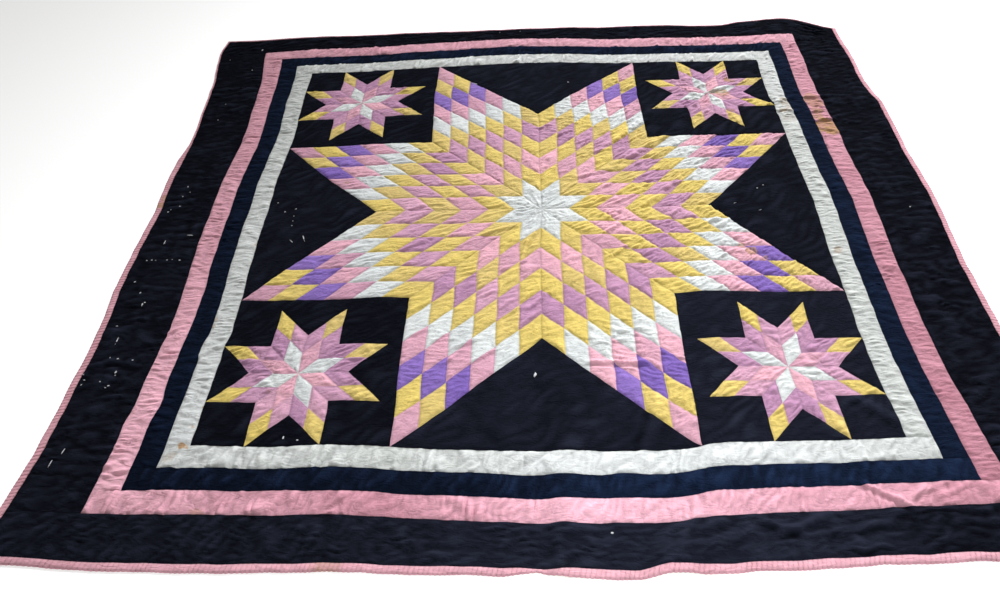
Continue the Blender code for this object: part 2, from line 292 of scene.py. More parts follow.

# Single creases, a crest above a trough, in millimetres: start and end, height and width
singleCreases = (
    # right half of the star
    (234, 294, 328, 392, 4.5, 10), (292, 237, 387, 317, 4.5, 10), (135, 148, 223, 175, 3, 6),
    (180, 92, 225, 122, 3, 6), (290, 132, 344, 170, 3, 6), (300, 197, 344, 224, 2.5, 6),
    (357, 87, 398, 118, 3, 7), (324, 32, 366, 87, 3.5, 8), (277, 8, 322, 41, 3, 6),
    (211, 27, 274, 66, 3, 5), (210, -21, 239, 7, 3, 5), (193, -76, 228, -47, 3, 5),
    (133, 11, 195, 55, 2.5, 7), (137, 228, 169, 248, 2, 5), (84, 340, 118, 361, 2.5, 5),
    (36, 382, 80, 409, 2.5, 5), (328, -72, 388, 11, 3, 6), (405, -70, 467, -42, 3.5, 5),
    (200, -165, 242, -129, 3.5, 6), (183, 258, 229, 272, 3, 5), (236, 78, 282, 115, 2, 6),
    (189, 296, 231, 341, 2, 5), (355, 234, 412, 286, 2.5, 7),
    # left half and lower points
    (-17, -158, -7, -112, 3, 5), (-7, -112, 14, -70, 3.5, 5), (-130, -83, -32, -46, 2, 6),
    (-319, -132, -253, -91, 2, 6), (-202, -80, -161, -38, 2, 5), (-175, -120, -101, -75, 2, 5),
    (37, 144, 63, 179, 2.5, 4), (-318, 23, -278, 40, 2, 5), (-312, -21, -275, 3, 2, 5),
    (-11, 240, 37, 275, 2, 4), (-4, -337, 31, -294, 4.5, 5), (-25, -389, 19, -348, 2, 5),
    (-70, -210, -29, -187, 1.5, 5), (-216, -431, -194, -412, 3, 4), (-169, -448, -137, -434, 3, 5),
    (-190, -495, -171, -476, 2.5, 4), (-130, -492, -91, -465, 3, 5),
    (-266, -412, -241, -398, 3, 5), (-278, -337, -240, -312, 2, 5), (-67, -364, -33, -336, 3, 4),
    (-123, -300, -91, -283, 2, 4), (-70, -335, -35, -303, 2, 5), (123, -500, 225, -503, 4, 6),
    (182, -489, 231, -493, 2, 4), (279, -477, 322, -491, 2, 4), (230, -503, 282, -515, 2, 5),
    (30, -312, 47, -287, 2, 5),
    # left and lower left strips
    (-828, -394, -798, -377, 3, 5), (-846, -746, -816, -734, 3, 6), (-842, -768, -808, -755, 2, 5),
    (-825, -598, -798, -578, 2, 6), (-844, -697, -817, -684, 2, 5), (-739, -464, -692, -432, 3, 6),
    (-814, -823, -805, -798, 2, 6), (-750, -832, -737, -803, 3, 6), (-707, -840, -697, -812, 3, 6),
    (-585, -846, -561, -810, 3, 7), (-499, -843, -477, -807, 3, 6), (-413, -840, -395, -812, 3, 6),
    (-710, -740, -700, -709, 3, 6), (-603, -741, -595, -710, 3, 6), (-515, -747, -503, -712, 3, 6),
    (-427, -752, -410, -718, 3, 6), (-932, -476, -877, -488, 3, 7), (-967, -544, -914, -530, 3, 7),
    # lower right
    (609, -806, 672, -847, 4.5, 6), (683, -835, 760, -804, 3, 6), (750, -830, 796, -809, 3, 6),
    (396, -815, 389, -851, 2, 4), (491, -808, 481, -852, 2.5, 4), (409, -882, 461, -896, 4, 7),
    (442, -901, 512, -879, 4, 7), (348, -918, 378, -900, 3, 7), (491, -909, 548, -898, 3, 7),
    (578, -899, 637, -881, 3, 8), (571, -932, 605, -928, 3, 7), (298, -896, 334, -885, 3, 8),
    (652, -866, 684, -862, 2, 8), (613, -756, 681, -745, 2, 6), (657, -618, 708, -661, 3, 12),
    (248, -587, 203, -720, 2.4, 9), (273, -897, 295, -870, 3, 8),
    # upper right
    (832, 503, 874, 507, 4, 8), (834, 429, 855, 434, 3, 6), (835, 382, 865, 387, 4, 7),
    (834, 342, 866, 329, 3, 6), (732, 477, 786, 505, 3, 8), (734, 440, 775, 432, 3, 7),
    (871, 482, 908, 462, 1.5, 7), (908, 462, 976, 465, 1.5, 5), (528, 582, 550, 591, 2, 5),
    (545, 543, 618, 584, 2.5, 6), (651, 374, 686, 419, 2, 10), (564, 554, 643, 589, 2, 6),
)
creaseProfile = {
    "offset": 0.8,                # the crest and the trough lie this far off the line, in widths
    "trough": 0.7,                # depth of the trough, beside the crest's height
    "ends": 2.0,                  # widths over which an end runs out
}


def creaseLines(x, y):
    rise = np.zeros(x.shape)
    for crease in singleCreases:
        startX, startY, endX, endY, height, width = metres(crease)
        length = math.hypot(endX - startX, endY - startY)
        wayX, wayY = (endX - startX) / length, (endY - startY) / length
        run = (x - startX) * wayX + (y - startY) * wayY
        off = ((y - startY) * wayX - (x - startX) * wayY) / width
        beyond = np.maximum(np.maximum(-run, run - length), 0.0)
        crest = np.exp(-(off - creaseProfile["offset"]) ** 2)
        trough = creaseProfile["trough"] * np.exp(-(off + creaseProfile["offset"]) ** 2)
        fading = np.exp(-(beyond / (creaseProfile["ends"] * width)) ** 2)
        rise += height * (crest - trough) * fading
    return rise


# A place seen along a direction and across it
def rotated(x, y, angle):
    return x * np.cos(angle) + y * np.sin(angle), y * np.cos(angle) - x * np.sin(angle)


# Rounded mounds with creased valleys between them, about 0 on average
def creased(x, y, *kinds):
    total = 0.0
    for kind in kinds:
        heading, bend, pitch, stretch, height, seed = creases[kind]
        along, across = rotated(x, y, math.radians(heading))
        along, across = along / (pitch * stretch), (across - bend * x ** 2) / pitch
        paceAlong, paceAcross = mounds["swayPace"]
        sway = softNoise(along * paceAlong + 7.0, across * paceAcross, seed + 100)
        across = across + mounds["sway"] * sway
        rise = mounds["steepness"] * np.abs(softNoise(along, across, seed)) - mounds["average"]
        middle, swing = mounds["strength"]
        strength = middle + swing * softNoise(x / mounds["patch"], y / mounds["patch"], seed + 200)
        total = total + height * rise * strength
    return total


def starCreases(x, y):
    level = np.max([nearness(x, y, *patch) for patch in levelCreases], axis=0)
    level = np.clip(levelShare * level, 0.0, 1.0)
    slanted = creased(x, y, "star", "starWide")
    rise = slanted * (1.0 - level) + creased(x, y, "starLevel") * level + creased(x, y, "starFine")
    rise = rise * (leftFade["middle"] + leftFade["swing"] * np.tanh(x / leftFade["reach"]))
    waver = whirl["waver"] * softNoise(x / whirl["waverLength"], y / whirl["waverLength"], 26)
    rays = np.abs(np.sin(whirl["rays"] * np.arctan2(y, x) + waver))
    ring = np.exp(-((np.hypot(x, y) - whirl["radius"]) / whirl["spread"]) ** 2)
    return rise + whirl["height"] * (1.9 * rays - 1.0) * ring


# Rise of the cloth beside a seam, and how deep in the seam a point lies, from 0 to 1
def seamRelief(distance, puff):
    ditch = np.exp(-(distance / cloth["ditchWidth"]) ** 2)
    rise = puff * (1.0 - np.exp(-distance / cloth["puffReach"])) - cloth["ditchDepth"] * ditch
    return rise, ditch


# Plain cottons: colour in daylight, and a second colour: for the light ones the colour they fade
# to, for the black and navy a paler blue that paints sheen on them
cottons = {
    "starWhite": ((0.75, 0.78, 0.77), (0.65, 0.675, 0.68)),
    "starYellow": ((0.77, 0.59, 0.165), (0.69, 0.52, 0.20)),
    "starPink": ((0.84, 0.45, 0.54), (0.60, 0.32, 0.43)),
    "starMauve": ((0.51, 0.27, 0.43), (0.72, 0.40, 0.52)),
    "starPurple": ((0.22, 0.13, 0.46), (0.31, 0.19, 0.55)),
    "starTip": ((0.78, 0.43, 0.52), (0.60, 0.32, 0.42)),
    # the second colour of the black and navy is a paler blue: painted sheen
    "black": ((0.0045, 0.0050, 0.0085), (0.0170, 0.0200, 0.0340)),
    "whiteStrip": ((0.72, 0.74, 0.74), (0.53, 0.55, 0.515)),
    "navyStrip": ((0.0045, 0.0075, 0.0170), (0.0100, 0.0190, 0.0480)),
    "pinkStrip": ((0.92, 0.50, 0.60), (0.51, 0.22, 0.28)),
    "bindingPink": ((0.86, 0.46, 0.54), (0.40, 0.15, 0.17)),
    "backing": ((0.62, 0.58, 0.50), (0.55, 0.51, 0.44)),
    "batting": ((0.64, 0.65, 0.67), (0.48, 0.49, 0.51)),
}
darkCottons = ("black", "navyStrip")
# How light lies on them, how far their crests take the painted sheen colour and their troughs lose
# it, and whether stains show
finish = {
    "light": dict(roughness=0.95, sheen=0.08, specular=0.05, crestSheen=0.0, soaks=1.0),
    "dark": dict(roughness=1.0, sheen=0.006, specular=0.005, crestSheen=0.6, soaks=0.0),
}

# How the threads, crumples, fading and painted sheen, the painted light and shade on creases and
# the painted shade in seams of a cotton show
weave = {
    "thread": 0.0007,             # from one thread to the next
    "mottle": 0.10,
    "slubScales": (40.0, 900.0),  # noise along a thicker thread and across it
    "slubShade": 0.22,
    "broadScale": 11.0,
    "fineScale": 160.0,
    "crumpleTurn": -24.0,         # small crumples are longer from lower left to upper right
    "crumpleStretch": 0.45,
    "crumpleScale": 75.0,
    "crumpleSharpness": 7.0,
    "crumpleShade": 0.10,
    "crumpleAverage": 0.07,
    "fadeAndSheenSpread": 0.6,            # fading and painted sheen across a patch, beside the patch's own
    "paintedCreaseShade": 0.20,
    "ditchShade": -0.20,
    "reliefs": dict(weave=0.06, slub=0.10, fine=0.45, crumple=0.75),
    "bumpStrength": 0.8,
    "bumpDistance": 0.0012,
}
stainLook = {
    "colour": (0.44, 0.255, 0.115, 1.0),
    "scale": 90.0,
    "contrast": 1.8,
    "least": 0.1,
    "ragged": ((0.5, 0.009, 81), (0.4, 0.025, 82)),     # size, length and seed of its edge
    "edge": 1.15,                 # where a pool ends, beside its size
    "soft": 0.35,
    "rim": dict(strength=0.6, at=0.9, width=0.12),
}


def fillInputs(tree, node, inputs):
    for key, value in inputs.items():
        if isinstance(value, bpy.types.NodeSocket):
            tree.links.new(value, node.inputs[key])
        else:
            node.inputs[key].default_value = value


def addNode(tree, kind, inputs=None, **settings):
    made = tree.nodes.new("ShaderNode" + kind)
    for key, value in settings.items():
        setattr(made, key, value)
    fillInputs(tree, made, inputs or {})
    return made


def mixColours(tree, share, first, second, blend="MIX"):
    inputs = {0: share, 6: first, 7: second}
    return addNode(tree, "Mix", inputs, data_type="RGBA", blend_type=blend).outputs[2]


# Colour and height of a plain cotton: threads, slubs, fading and painted sheen, painted light and
# shade on creases, painted shade in the seams, and stains
def clothGroup():
    tree = bpy.data.node_groups.new("plainCotton", "ShaderNodeTree")
    grey = (0.5, 0.5, 0.5, 1.0)
    ports = {"Colour": grey, "FadedAndSheen": grey, "Mottle": weave["mottle"], "Thread": weave["thread"],
             "CrestSheen": 0.0, "Soaks": 1.0}
    for name, value in ports.items():
        kind = "NodeSocketColor" if value is grey else "NodeSocketFloat"
        tree.interface.new_socket(name, in_out="INPUT", socket_type=kind).default_value = value
    tree.interface.new_socket("Colour", in_out="OUTPUT", socket_type="NodeSocketColor")
    tree.interface.new_socket("Height", in_out="OUTPUT", socket_type="NodeSocketFloat")
    given = tree.nodes.new("NodeGroupInput").outputs
    result = tree.nodes.new("NodeGroupOutput")

    def maths(operation, *values):
        return addNode(tree, "Math", dict(enumerate(values)), operation=operation).outputs[0]

    def clamped(value):
        return addNode(tree, "Clamp", {0: value}).outputs[0]

    def noise(vector, scale, detail, distortion=0.0):
        return addNode(tree, "TexNoise", {"Vector": vector, "Scale": scale, "Detail": detail,
                                          "Distortion": distortion}).outputs[0]

    place = addNode(tree, "TexCoord").outputs["Object"]
    threads = addNode(tree, "UVMap", uv_map="threads").outputs["UV"]
    tone, ditch, stain, paintedCreaseShading = (addNode(tree, "Attribute", attribute_name=name).outputs["Fac"]
                                for name in ("tone", "ditch", "stain", "paintedCreaseShading"))

    # threads cross at the thread's own spacing
    scaled = {0: threads, "Scale": maths("DIVIDE", math.tau, given["Thread"])}
    scaled = addNode(tree, "VectorMath", scaled, operation="SCALE").outputs[0]
    waved = addNode(tree, "VectorMath", {0: scaled}, operation="SINE").outputs[0]
    parts = addNode(tree, "SeparateXYZ", {0: waved}).outputs
    crossed = maths("MULTIPLY", parts[0], parts[1])

    # thicker threads here and there, both ways
    along, across = weave["slubScales"]
    slubs = []
    for scale in ((along, across, 1.0), (across, along, 1.0)):
        stretched = addNode(tree, "Mapping", {"Vector": threads, "Scale": scale}).outputs[0]
        slubs.append(noise(stretched, 1.0, 2.0))
    slub = maths("ADD", *slubs)

    broad = noise(place, weave["broadScale"], 5.0)
    fine = noise(place, weave["fineScale"], 3.0)

    turn = (0.0, 0.0, math.radians(weave["crumpleTurn"]))
    leaning = addNode(tree, "Mapping", {"Vector": place, "Rotation": turn,
                                        "Scale": (weave["crumpleStretch"], 1.0, 1.0)}).outputs[0]
    folded = maths("SUBTRACT", noise(leaning, weave["crumpleScale"], 2.5, 0.7), 0.5)
    crumple = clamped(maths("MULTIPLY", maths("ABSOLUTE", folded), weave["crumpleSharpness"]))

    # fading, and on the black and navy the painted sheen, goes patch by patch and a little across
    # each of them
    spread = weave["fadeAndSheenSpread"]
    fadeAndSheen = maths("ADD", tone, maths("MULTIPLY_ADD", broad, spread, -spread / 2.0))
    # on the black and navy, crests take more of the painted sheen colour and troughs less
    fadeAndSheen = clamped(maths("MULTIPLY_ADD", paintedCreaseShading, given["CrestSheen"], fadeAndSheen))
    base = mixColours(tree, fadeAndSheen, given["Colour"], given["FadedAndSheen"])

    light = maths("MULTIPLY_ADD", maths("SUBTRACT", slub, 1.0), weave["slubShade"], 1.0)
    mottled = maths("MULTIPLY", maths("SUBTRACT", fine, 0.5), given["Mottle"])
    light = maths("ADD", light, mottled)
    # painted highlight on crests and painted shade in troughs
    light = maths("MULTIPLY_ADD", paintedCreaseShading, weave["paintedCreaseShade"], light)
    light = maths("SUBTRACT", light, weave["crumpleAverage"])
    light = maths("MULTIPLY_ADD", crumple, weave["crumpleShade"], light)
    # painted shade in the seams
    light = maths("MULTIPLY", light, maths("MULTIPLY_ADD", ditch, weave["ditchShade"], 1.0))
    shade = addNode(tree, "CombineColor", {0: light, 1: light, 2: light}).outputs[0]
    base = mixColours(tree, 1.0, base, shade, "MULTIPLY")

    # stains soak in unevenly
    edge = noise(place, stainLook["scale"], 4.0)
    edge = maths("MULTIPLY_ADD", edge, stainLook["contrast"], stainLook["least"])
    soaked = maths("MULTIPLY", clamped(maths("MULTIPLY", stain, edge)), given["Soaks"])
    base = mixColours(tree, soaked, base, stainLook["colour"])

    reliefs = weave["reliefs"]
    height = maths("MULTIPLY", slub, reliefs["slub"])
    height = maths("MULTIPLY_ADD", crossed, reliefs["weave"], height)
    height = maths("MULTIPLY_ADD", fine, reliefs["fine"], height)
    height = maths("MULTIPLY_ADD", crumple, reliefs["crumple"], height)
    fillInputs(tree, result, {"Colour": base, "Height": height})
    return tree


cottonGroup = clothGroup()


def newMaterial(name):
    material = bpy.data.materials.new(name)
    material.use_nodes = True
    return material, material.node_tree, material.node_tree.nodes["Principled BSDF"]


def cottonMaterial(name):
    colour, fadedAndSheen = cottons[name]
    surface = finish["dark" if name in darkCottons else "light"]
    material, tree, shader = newMaterial(name)
    look = tree.nodes.new("ShaderNodeGroup")
    look.node_tree = cottonGroup
    fillInputs(tree, look, {"Colour": (*colour, 1.0), "FadedAndSheen": (*fadedAndSheen, 1.0),
                            "CrestSheen": surface["crestSheen"], "Soaks": surface["soaks"]})
    relief = {"Strength": weave["bumpStrength"], "Distance": weave["bumpDistance"],
              "Height": look.outputs["Height"]}
    bump = addNode(tree, "Bump", relief)
    fillInputs(tree, shader, {"Base Color": look.outputs["Colour"], "Normal": bump.outputs[0],
                              "Roughness": surface["roughness"], "Sheen Weight": surface["sheen"],
                              "Sheen Roughness": 0.5, "Specular IOR Level": surface["specular"]})
    return material


materials = {name: cottonMaterial(name) for name in cottons}
print("cottons mixed")

# Rust and dirt on the light cottons, each a soft-edged pool with a darker rim:
# place on the floor and size in millimetres, strength in percent
stains = (
    (841, 500, 24, 50), (848, 470, 20, 45), (843, 432, 13, 60), (838, 400, 14, 60),
    (850, 360, 33, 75), (858, 336, 20, 75), (764, 492, 19, 30), (770, 455, 15, 28),
    (744, 440, 10, 45), (760, 403, 20, 14), (738, -161, 11, 35), (590, 544, 19, 60),
    (563, 552, 12, 45), (614, 617, 9, 75), (627, 610, 10, 55), (595, 450, 10, 45),
    (590, 430, 5, 70), (530, -155, 13, 62), (514, -136, 9, 45), (559, -184, 8, 40),
    (-494, 148, 6, 40), (-710, -696, 6, 80), (-699, -699, 5, 75), (-722, -717, 7, 25),
    (-730, -725, 9, 20), (-728, -372, 5, 40), (-731, -350, 7, 30), (-676, -90, 4, 80),
    (-690, -95, 5, 40), (-642, -846, 9, 35), (-630, -847, 6, 25), (-395, -955, 10, 25),
    (-380, -953, 12, 35), (-362, -955, 11, 30), (-700, -650, 3.5, 75), (-690, -600, 3, 70),
    (-981, 102, 12, 55), (-983, 72, 12, 60), (140, 150, 3, 25), (-560, -560, 4, 35),
)


def stainAt(x, y):
    amount = np.zeros(x.shape)
    ragged = 1.0
    for size, reach, seed in stainLook["ragged"]:
        ragged = ragged + size * softNoise(x / reach, y / reach, seed)
    rim = stainLook["rim"]
    for *place, strength in stains:
        atX, atY, size = metres(place)
        off = np.hypot(x - atX, y - atY) * ragged / size
        pool = np.clip((stainLook["edge"] - off) / stainLook["soft"], 0.0, 1.0)
        pool = pool + rim["strength"] * np.exp(-((off - rim["at"]) / rim["width"]) ** 2)
        amount = np.maximum(amount, strength / 100 * pool)
    return amount


darkPieces = []
mergeWithin = 0.00002
sharpAngle = 55.0                 # degrees


def meshFrom(sheet, name):
    mesh = bpy.data.meshes.new(name)
    sheet.to_mesh(mesh)
    sheet.free()
    return mesh


def openEdges(sheet, level):
    return [edge for edge in sheet.edges
            if edge.is_boundary and abs(edge.verts[0].co.z - level) < 0.1]


# A fine flat sheet at z = 1 over a coarser one at z = 0, joined around their edges
def closedPanel(makeSheet, detail, coarser):
    sheet = makeSheet(detail)
    bmesh.ops.translate(sheet, verts=sheet.verts, vec=(0.0, 0.0, 1.0))
    walls = bmesh.ops.extrude_edge_only(sheet, edges=openEdges(sheet, 1.0))["geom"]
    lower = [item for item in walls if isinstance(item, bmesh.types.BMVert)]
    bmesh.ops.translate(sheet, verts=lower, vec=(0.0, 0.0, -1.0))
    under = makeSheet(tuple(cells // coarser for cells in detail))
    bmesh.ops.subdivide_edges(under, edges=openEdges(under, 0.0), cuts=coarser - 1)
    held = meshFrom(under, "underside")
    sheet.from_mesh(held)
    bpy.data.meshes.remove(held)
    lower = [vert for vert in sheet.verts if vert.co.z < 0.5]
    bmesh.ops.remove_doubles(sheet, verts=lower, dist=mergeWithin)
    bmesh.ops.recalc_face_normals(sheet, faces=sheet.faces)
    return sheet


def placesOf(items, field):
    flat = np.empty(len(items) * 3)
    items.foreach_get(field, flat)
    return flat.reshape(-1, 3).T


def addValues(mesh, name, domain, values):
    data = mesh.attributes.new(name, "FLOAT", domain).data
    data.foreach_set("value", values.astype(np.float32))


# Dresses a closed panel and lays it on the floor. The sheet has coordinates of its own, which
# toPattern turns into places of the pattern. relief gives the rise and the seams' depth there,
# and fabricAt the number of the fabric in the list of fabrics.
def layPanel(sheet, name, toPattern, relief, fabrics, fabricAt,
             grain=0.0):
    mesh = meshFrom(sheet, name)
    ownX, ownY, level = placesOf(mesh.vertices, "co")
    onTop = level > 0.5
    patternX, patternY = toPattern(ownX, ownY)
    placeX, placeY = laidOut(patternX, patternY)
    rise, ditch, wrinkled = relief(ownX, ownY, patternX, patternY)
    wrinkled = wrinkled + creaseLines(placeX, placeY)
    # painted light and shade of the creases: lighter on crests, darker in troughs
    paintedCreaseShading = np.clip(wrinkled / creaseShadingHeight, -1.0, 1.0)
    above = (cloth["thickness"] + rise + wrinkled - cloth["thinnest"]) / cloth["easeOut"]
    top = cloth["thinnest"] + cloth["easeOut"] * np.logaddexp(0.0, above)
    height = foldRise(patternX, patternY) + np.where(onTop, top, 0.0)

    middleX, middleY, middleLevel = placesOf(mesh.polygons, "center")
    numbers, patchTone = fabricAt(middleX, middleY)
    numbers = np.where(middleLevel < 0.25, len(fabrics), numbers)
    mesh.vertices.foreach_set("co", np.column_stack((placeX, placeY, height)).ravel())

    for fabric in (*fabrics, "backing"):
        mesh.materials.append(materials[fabric])
    mesh.polygons.foreach_set("material_index", numbers.astype(np.int32))
    addValues(mesh, "tone", "FACE", patchTone)
    # closeness to a seam, which the cottons darken as painted shade
    addValues(mesh, "ditch", "POINT", np.where(onTop, ditch, 0.0))
    addValues(mesh, "paintedCreaseShading", "POINT", np.where(onTop, paintedCreaseShading, 0.0))
    addValues(mesh, "stain", "POINT", stainAt(placeX, placeY))

    corners = np.empty(len(mesh.loops), dtype=np.int32)
    mesh.loops.foreach_get("vertex_index", corners)
    threads = np.column_stack(rotated(patternX, patternY, math.radians(grain)))
    layer = mesh.uv_layers.new(name="threads")
    layer.data.foreach_set("uv", threads[corners].ravel())

    mesh.shade_smooth()
    mesh.set_sharp_from_angle(angle=math.radians(sharpAngle))
    mesh.update()
    piece = addPiece(name + "_cloth", mesh)
    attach(piece, "root")
    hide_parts(name)
    if "black" in fabrics:
        darkPieces.append(piece)


# The outline of a panel, half a gap inside its seam lines
def drawnIn(corners):
    points = np.array(corners, dtype=float)
    before, after = np.roll(points, 1, axis=0) - points, np.roll(points, -1, axis=0) - points
    before /= np.linalg.norm(before, axis=1)[:, None]
    after /= np.linalg.norm(after, axis=1)[:, None]
    halfAngle = np.arccos(np.clip((before * after).sum(axis=1), -1.0, 1.0)) / 2.0
    inward = before + after
    inward /= np.linalg.norm(inward, axis=1)[:, None]
    return points + inward * (pattern["seamGap"] / 2.0 / np.sin(halfAngle))[:, None]


# Corners turned by quarter turns around the star, mirrored over the diagonal first
def turned(corners, quarter, mirror=False):
    cosine, sine = round(math.cos(quarter * math.pi / 2)), round(math.sin(quarter * math.pi / 2))
    result = []
    for x, y in corners:
        if mirror:
            x, y = y, x
        result.append((x * cosine - y * sine, x * sine + y * cosine))
    return result[::-1] if mirror else result


def flatGrid(detail):
    columns, rows = detail
    sheet = bmesh.new()
    bmesh.ops.create_grid(sheet, x_segments=columns, y_segments=rows, size=0.5)
    bmesh.ops.translate(sheet, verts=sheet.verts, vec=(0.5, 0.5, 0.0))
    return sheet


# The large star: rows of small diamonds, from the centre to the tip of each point
bigStar = {
    "cells": 25,                  # mesh cells across a small diamond
    "puff": 0.0028,
    "rows": ("starWhite", "starYellow", "starPink", "starYellow", "starMauve", "starYellow",
             "starWhite", "starPink", "starPurple", "starYellow", "starTip"),
    # how faded each point is, from the right one round by the top; the right ones are paler
    "toneStart": (-0.36, -0.24, -0.16, -0.04, -0.04, -0.16, -0.36, -0.38),
    "patchHeights": (0.8, 1.15),
}


# How far inside a unit square a place lies
def insideSquare(u, v):
    return np.minimum(np.minimum(u, 1.0 - u), np.minimum(v, 1.0 - v))


def makeStarPoints():
    corners = ((0.0, 0.0), (pattern["notchRadius"], 0.0),
               (pattern["fieldHalf"], pattern["blockInner"]),
               (pattern["blockInner"], pattern["blockInner"]))
    fabrics = list(dict.fromkeys(bigStar["rows"]))
    rowFabric = np.array([fabrics.index(name) for name in bigStar["rows"]])
    across = pattern["notchRadius"] / pattern["diamonds"] * math.sin(math.pi / 4)
    chance = random.Random(5)
    for number in range(8):
        outline = drawnIn(turned(corners, number // 2, mirror=number % 2 == 1))
        count = pattern["diamonds"]
        tones = np.array([[chance.random() for _ in range(count)] for _ in range(count)])
        heights = np.array([[chance.uniform(*bigStar["patchHeights"]) for _ in range(count)]
                            for _ in range(count)])
        flip = number % 2 == 1    # a mirrored outline begins at the other end

        def toPattern(u, v, outline=outline):
            low = between(outline[0], outline[1], u[:, None])
            high = between(outline[3], outline[2], u[:, None])
            return between(low, high, v[:, None]).T

        # which small diamond, counted from the star's centre, and the place in it
        def patches(u, v, flip=flip):
            if flip:
                v = 1.0 - v
            first, second = u * count, v * count
            column = np.clip(first.astype(int), 0, count - 1)
            row = np.clip(second.astype(int), 0, count - 1)
            return column, row, first - column, second - row

        def relief(u, v, x, y, heights=heights):
            column, row, first, second = patches(u, v)
            distance = insideSquare(first, second) * across
            rise, ditch = seamRelief(distance, bigStar["puff"] * heights[column, row])
            return rise, ditch, starCreases(x, y) * (1.0 - cloth["calmed"]["star"] * ditch)

        def fabricAt(u, v, tones=tones, start=bigStar["toneStart"][number]):
            column, row, _, _ = patches(u, v)
            return rowFabric[column + row], tones[column, row] + start

        cells = bigStar["cells"] * count
        panel = closedPanel(flatGrid, (cells, cells), 6)
        layPanel(panel, f"star_point_{number + 1}", toPattern, relief, fabrics, fabricAt,
                 grain=22.5 + 45.0 * number)


# Black setting triangles between the star's points
settingTriangles = {
    "cells": 92,
    "tones": (0.24, 0.32, 0.23, 0.37),       # painted sheen on the right, top, left and bottom ones
    "puff": 0.0014,
}


# Adds a triangle of even cells between three corners
def addTriangle(sheet, corners, cells):
    verts = bmesh.ops.create_circle(sheet, segments=3, radius=1.0, cap_ends=True)["verts"]
    for vert, place in zip(verts, corners):
        vert.co = (*place, 0.0)
    edges = list(dict.fromkeys(edge for vert in verts for edge in vert.link_edges))
    bmesh.ops.subdivide_edges(sheet, edges=edges, cuts=cells - 1, use_grid_fill=True)


# A triangle whose own x and y are the shares of its second and third corners
def flatTriangle(detail):
    sheet = bmesh.new()
    addTriangle(sheet, ((0.0, 0.0), (1.0, 0.0), (0.0, 1.0)), *detail)
    return sheet


# How far points inside a convex outline lie from its nearest side
def edgeDistance(x, y, outline):
    nearest = np.full(x.shape, np.inf)
    for (startX, startY), (endX, endY) in zip(outline, np.roll(outline, -1, axis=0)):
        length = math.hypot(endX - startX, endY - startY)
        off = ((endX - startX) * (y - startY) - (endY - startY) * (x - startX)) / length
        nearest = np.minimum(nearest, np.abs(off))
    return nearest


def makeSettingTriangles():
    corners = ((pattern["notchRadius"], 0.0), (pattern["fieldHalf"], -pattern["blockInner"]),
               (pattern["fieldHalf"], pattern["blockInner"]))
    for number in range(4):
        outline = drawnIn(turned(corners, number))

        def toPattern(u, v, outline=outline):
            return (outline[0] + (outline[1] - outline[0]) * u[:, None]
                    + (outline[2] - outline[0]) * v[:, None]).T

        def relief(u, v, x, y, outline=outline):
            rise, ditch = seamRelief(edgeDistance(x, y, outline), settingTriangles["puff"])
            left = 1.0 - cloth["calmed"]["black"] * ditch
            return rise, ditch, creased(x, y, "black") * left

        def fabricAt(u, v, tone=settingTriangles["tones"][number]):
            return np.zeros(u.shape, dtype=int), np.full(u.shape, tone)

        panel = closedPanel(flatTriangle, (settingTriangles["cells"],), 4)
        layPanel(panel, f"setting_triangle_{number + 1}", toPattern, relief, ["black"], fabricAt)


# Corner blocks: a small eight-pointed star of 2 x 2 patches a point, set in black
cornerBlocks = {
    "cells": 33,                  # mesh cells along a side of a small star's point
    "stripCells": 9,              # across the black strips on the two inner sides
    "puff": 0.0017,
    "blackPuff": 0.0010,
    "toneStart": -0.2,            # fading of the patches
    "tones": (0.22, 0.15, 0.12, 0.50),       # painted sheen on the black, from the upper right one round
}


# Adds a grid between four corners
def addPatch(sheet, corners, columns, rows):
    verts = bmesh.ops.create_grid(sheet, x_segments=columns, y_segments=rows, size=0.5)["verts"]
    lowLeft, lowRight, upRight, upLeft = (np.array(corner) for corner in corners)
    for vert in verts:
        u, v = vert.co.x + 0.5, vert.co.y + 0.5
        low, high = between(lowLeft, lowRight, u), between(upLeft, upRight, u)
        vert.co = (*between(low, high, v), 0.0)


# The whole block around its small star's centre, with mesh lines along every seam
def cornerSheet(detail):
    sheet = bmesh.new()
    cells, stripCells = detail
    side, half = pattern["smallStarSide"], pattern["smallStarOffset"]
    notch = side / math.sqrt(2.0)
    gap = pattern["seamGap"] / 2.0
    outer, inner = half - gap, -half
    far = half - (pattern["fieldHalf"] - pattern["blockInner"]) + gap
    squares = (
        # two points of the star, and the black square between them
        ((0.0, 0.0), (side, 0.0), (half, notch), (notch, notch)),
        ((0.0, 0.0), (notch, notch), (notch, half), (0.0, side)),
        ((notch, notch), (half, notch), (half, half), (notch, half)),
    )
    for quarter in range(4):
        for corners in squares:
            addPatch(sheet, turned(corners, quarter), cells, cells)
        addTriangle(sheet, turned(((side, 0.0), (half, -notch), (half, notch)), quarter), cells)
    lines = (inner, -notch, notch, half)
    for start, end in zip(lines, lines[1:]):
        corners = (far, start), (inner, start), (inner, end), (far, end)
        addPatch(sheet, corners, stripCells, cells)
        corners = (start, far), (end, far), (end, inner), (start, inner)
        addPatch(sheet, corners, cells, stripCells)
    corners = (far, far), (inner, far), (inner, inner), (far, inner)
    addPatch(sheet, corners, stripCells, stripCells)
    bmesh.ops.remove_doubles(sheet, verts=sheet.verts, dist=mergeWithin)
    for vert in sheet.verts:
        vert.co.x = min(vert.co.x, outer)
        vert.co.y = min(vert.co.y, outer)
    return sheet


# Wedge of the small star, the shares along its point's two sides, and whether it is on the star
def smallStarPatches(x, y):
    angle = np.arctan2(y, x) % math.tau
    wedge = np.clip((angle / (math.pi / 4)).astype(int), 0, 7)
    across, up = rotated(x, y, wedge * math.pi / 4)
    second = up * math.sqrt(2.0) / pattern["smallStarSide"]
    first = across / pattern["smallStarSide"] - second / math.sqrt(2.0)
    return wedge, first, second, np.maximum(first, second) <= 1.0


